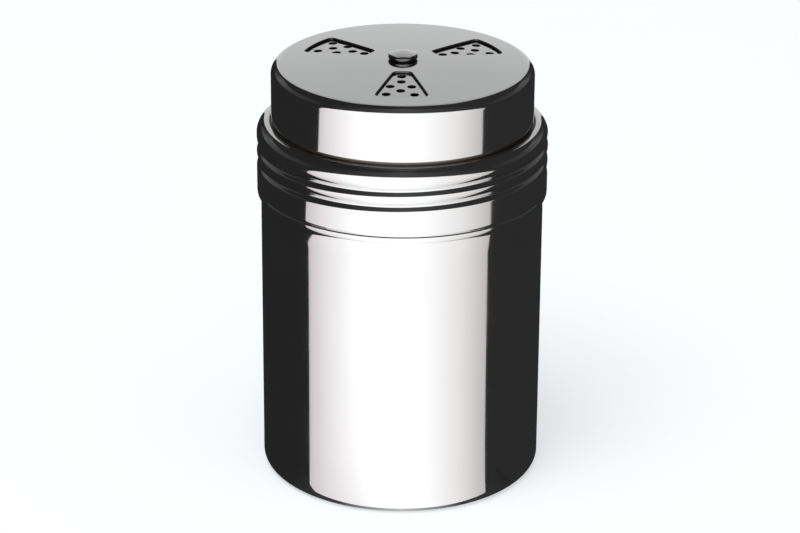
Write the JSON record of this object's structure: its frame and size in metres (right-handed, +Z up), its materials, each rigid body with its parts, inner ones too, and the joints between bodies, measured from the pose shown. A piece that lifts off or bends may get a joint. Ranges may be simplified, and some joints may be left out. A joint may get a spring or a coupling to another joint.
{
  "type": "sugar caster",
  "caption": "Round polished-steel sugar caster: a deep-drawn canister, a screw cap with a perforated sifter, and a cover with windows that turns on a rivet to open or close the holes.",
  "frame": {"origin": "middle of the base, on the surface that the canister stands on", "axes": "+Z up along the axis of the canister, -Y the front that the picture shows"},
  "size_m": [0.0678, 0.0678, 0.1028],
  "materials": {
    "polished_steel": "mirror-polished stainless steel",
    "sifter_steel": "bright stainless sheet, less polished",
    "rivet_steel": "polished steel",
    "spring_steel": "bare spring steel",
    "washer_steel": "bare steel"
  },
  "bodies": {
    "canister": {"canister": "polished_steel"},
    "pivot": {"pivot_rivet": "rivet_steel", "spring_washer": "spring_steel", "backing_washer": "washer_steel"},
    "cap": {"screw_ring": "polished_steel", "sifter": "sifter_steel"},
    "cover": {"shutter_cover": "polished_steel"}
  },
  "joints": [
    {"name": "cap_lift", "type": "slide", "parent": "canister", "child": "pivot", "axis": [0, 0, 1], "range_m": [0, 0.0289]},
    {"name": "cap_unscrew", "type": "hinge", "parent": "pivot", "child": "cap", "pos_m": [0, 0, 0.0772], "axis": [0, 0, 1], "range_deg": [0, 2880]},
    {"name": "cover_turn", "type": "hinge", "parent": "cap", "child": "cover", "pos_m": [0, 0, 0.1005], "axis": [0, 0, 1], "continuous": true}
  ],
  "couplings": [
    {"joint": "cap_lift", "follows": "cap_unscrew", "m_per_rad": 0.00057296}
  ]
}
